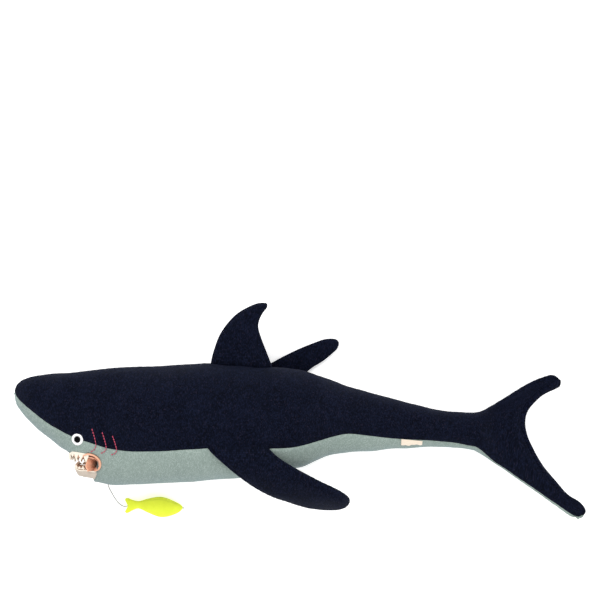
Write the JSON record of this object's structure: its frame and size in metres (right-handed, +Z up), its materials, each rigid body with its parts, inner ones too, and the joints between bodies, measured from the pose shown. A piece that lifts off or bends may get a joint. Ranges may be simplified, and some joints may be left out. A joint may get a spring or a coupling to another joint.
{
  "type": "plush shark",
  "caption": "Long plush shark lying on its side, navy back and grey belly, stuffed fins and forked tail, open felt mouth with teeth, stitched gills and a small felt fish on a thread.",
  "frame": {"origin": "middle of the flattened right flank, on the surface that the shark lies on", "axes": "+X from the nose to the tail, +Y towards the back of the shark, +Z up, towards its left side"},
  "size_m": [0.6951, 0.2672, 0.129],
  "materials": {
    "navy_knit": "fine knitted cotton, dark navy with flecks",
    "grey_knit": "fine knitted cotton, pale grey-green",
    "fibre_filling": "loose white polyester fibre",
    "white_thread": "satin-stitched white thread",
    "black_thread": "satin-stitched black thread",
    "red_thread": "stranded embroidery thread",
    "pink_felt": "thin wool felt",
    "cream_felt": "thin wool felt",
    "beige_felt": "wool felt",
    "lime_felt": "bright yellow-green knitted felt",
    "cotton_ribbon": "woven cotton ribbon, blank",
    "cotton_cord": "twisted cotton thread"
  },
  "bodies": {
    "body": {"left_side_panel": "navy_knit", "right_side_panel": "navy_knit", "belly_panel": "grey_knit", "head_stuffing": "fibre_filling", "torso_stuffing": "fibre_filling", "left_eye_ring": "white_thread", "left_pupil": "black_thread", "right_eye_ring": "white_thread", "right_pupil": "black_thread", "left_gill_stitches": "red_thread", "right_gill_stitches": "red_thread", "palate_lining": "pink_felt", "throat_lining": "pink_felt", "upper_teeth": "cream_felt"},
    "tail": {"tail_left_panel": "navy_knit", "tail_right_panel": "navy_knit", "tail_belly_strip": "grey_knit", "tail_stuffing": "fibre_filling", "sewn_label": "cotton_ribbon"},
    "dorsal_fin": {"dorsal_left_panel": "navy_knit", "dorsal_right_panel": "navy_knit", "dorsal_stuffing": "fibre_filling"},
    "left_pectoral_fin": {"left_pectoral_top": "navy_knit", "left_pectoral_under": "navy_knit", "left_pectoral_stuffing": "fibre_filling"},
    "right_pectoral_fin": {"right_pectoral_top": "navy_knit", "right_pectoral_under": "navy_knit", "right_pectoral_stuffing": "fibre_filling"},
    "jaw": {"jaw_cover": "beige_felt", "jaw_lining": "pink_felt", "jaw_stuffing": "fibre_filling", "lower_teeth": "cream_felt"},
    "fish": {"fish_top_panel": "lime_felt", "fish_back_panel": "lime_felt", "fish_stuffing": "fibre_filling", "fish_nose_knot": "cotton_cord", "fish_cord": "cotton_cord", "cord_knot": "cotton_cord"}
  },
  "joints": [
    {"name": "tail_bend", "type": "hinge", "parent": "body", "child": "tail", "pos_m": [0.277, 0, 0.029], "axis": [0, 1, 0], "range_deg": [-20, 20], "stiffness_Nm_per_rad": 0.6},
    {"name": "dorsal_fold", "type": "hinge", "parent": "body", "child": "dorsal_fin", "pos_m": [0.093, 0.0794, 0.059], "axis": [1, 0, 0], "range_deg": [-35, 35], "stiffness_Nm_per_rad": 0.08},
    {"name": "left_pectoral_lift", "type": "hinge", "parent": "body", "child": "left_pectoral_fin", "pos_m": [0.089, -0.021, 0.122], "axis": [-1, 0, 0], "range_deg": [0, 70], "stiffness_Nm_per_rad": 0.08},
    {"name": "right_pectoral_lift", "type": "hinge", "parent": "body", "child": "right_pectoral_fin", "pos_m": [0.089, -0.021, 0.00425], "axis": [-1, 0, 0], "range_deg": [0, 70], "stiffness_Nm_per_rad": 0.08},
    {"name": "jaw_open", "type": "hinge", "parent": "body", "child": "jaw", "pos_m": [-0.0798, -0.052, 0.059], "axis": [0, 0, 1], "range_deg": [0, 12], "stiffness_Nm_per_rad": 0.05},
    {"name": "fish_swing", "type": "hinge", "parent": "body", "child": "fish", "pos_m": [-0.074, -0.055, 0.0242], "axis": [0, 0, 1], "range_deg": [-90, 0]}
  ]
}
